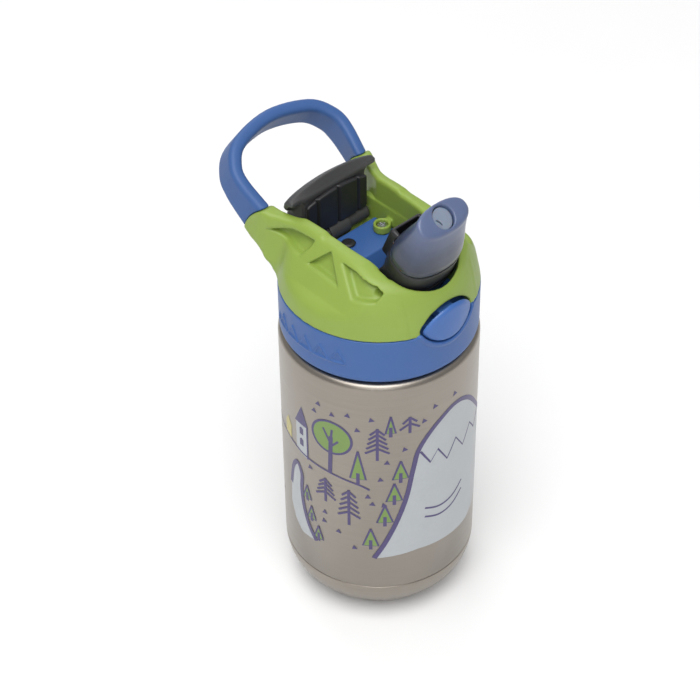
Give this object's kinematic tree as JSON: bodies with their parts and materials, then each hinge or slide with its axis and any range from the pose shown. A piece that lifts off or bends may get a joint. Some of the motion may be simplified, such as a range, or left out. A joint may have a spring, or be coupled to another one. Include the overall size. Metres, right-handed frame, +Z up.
{
  "type": "kids water bottle",
  "caption": "Insulated steel children's drinking bottle with a screw lid, carry loop, push button, spring-up oval spout and a small hinged cover over the spout's tip.",
  "frame": {"origin": "centre of the flat base, on the plane the bottle stands on", "axes": "+Z up along the bottle's axis, -Y towards the button and spout, +Y towards the carry loop"},
  "size_m": [0.073, 0.1011, 0.1899],
  "materials": {
    "steel": "brushed satin",
    "flask_steel": "electropolished inside",
    "blue_plastic": "fine moulded satin",
    "green_plastic": "fine moulded satin",
    "black_plastic": "satin",
    "button_blue": "satin gloss",
    "clear_blue": "translucent blue silicone",
    "silicone": "milky silicone",
    "clear_plastic": "translucent",
    "bright_metal": "bright"
  },
  "bodies": {
    "bottle": {"outer_shell": "steel", "base_cup": "steel", "inner_flask": "flask_steel", "getter_capsule": "flask_steel"},
    "seal": {"lid_gasket": "silicone"},
    "lid": {"lid_collar": "blue_plastic", "lid_shell": "green_plastic", "handle_grip": "blue_plastic", "screw_left": "bright_metal", "screw_right": "bright_metal", "spout_pin_left": "bright_metal", "spout_pin_right": "bright_metal", "cover_pin": "bright_metal", "spout_spring": "bright_metal", "cover_spring": "bright_metal", "button_spring": "bright_metal", "straw": "clear_plastic", "stem_seal": "silicone", "vent_valve": "black_plastic"},
    "spout": {"spout_hood": "black_plastic", "mouthpiece": "clear_blue", "mouth_tube": "silicone"},
    "cover": {"cover_flap": "black_plastic", "cover_pad": "black_plastic"},
    "button": {"button_cap": "button_blue"}
  },
  "joints": [
    {"name": "lid_rise", "type": "slide", "parent": "bottle", "child": "seal", "axis": [0, 0, 1], "range_m": [0, 0.008]},
    {"name": "lid_turn", "type": "hinge", "parent": "seal", "child": "lid", "pos_m": [0, 0, 0.13], "axis": [0, 0, 1], "range_deg": [0, 360]},
    {"name": "spout_pivot", "type": "hinge", "parent": "lid", "child": "spout", "pos_m": [0, -0.018, 0.155], "axis": [-1, 0, 0], "range_deg": [0, 105], "stiffness_Nm_per_rad": 0.02, "springref_deg": -28.65},
    {"name": "cover_hinge", "type": "hinge", "parent": "lid", "child": "cover", "pos_m": [0, 0.023, 0.151], "axis": [1, 0, 0], "range_deg": [0, 21], "stiffness_Nm_per_rad": 0.02, "springref_deg": -28.65},
    {"name": "button_press", "type": "slide", "parent": "lid", "child": "button", "axis": [0, 1, 0], "range_m": [0, 0.002], "stiffness_N_per_m": 400, "springref_m": -0.002, "deforming": ["button_spring"]}
  ],
  "couplings": [
    {"joint": "lid_rise", "follows": "lid_turn", "m_per_rad": 0.0012732}
  ]
}
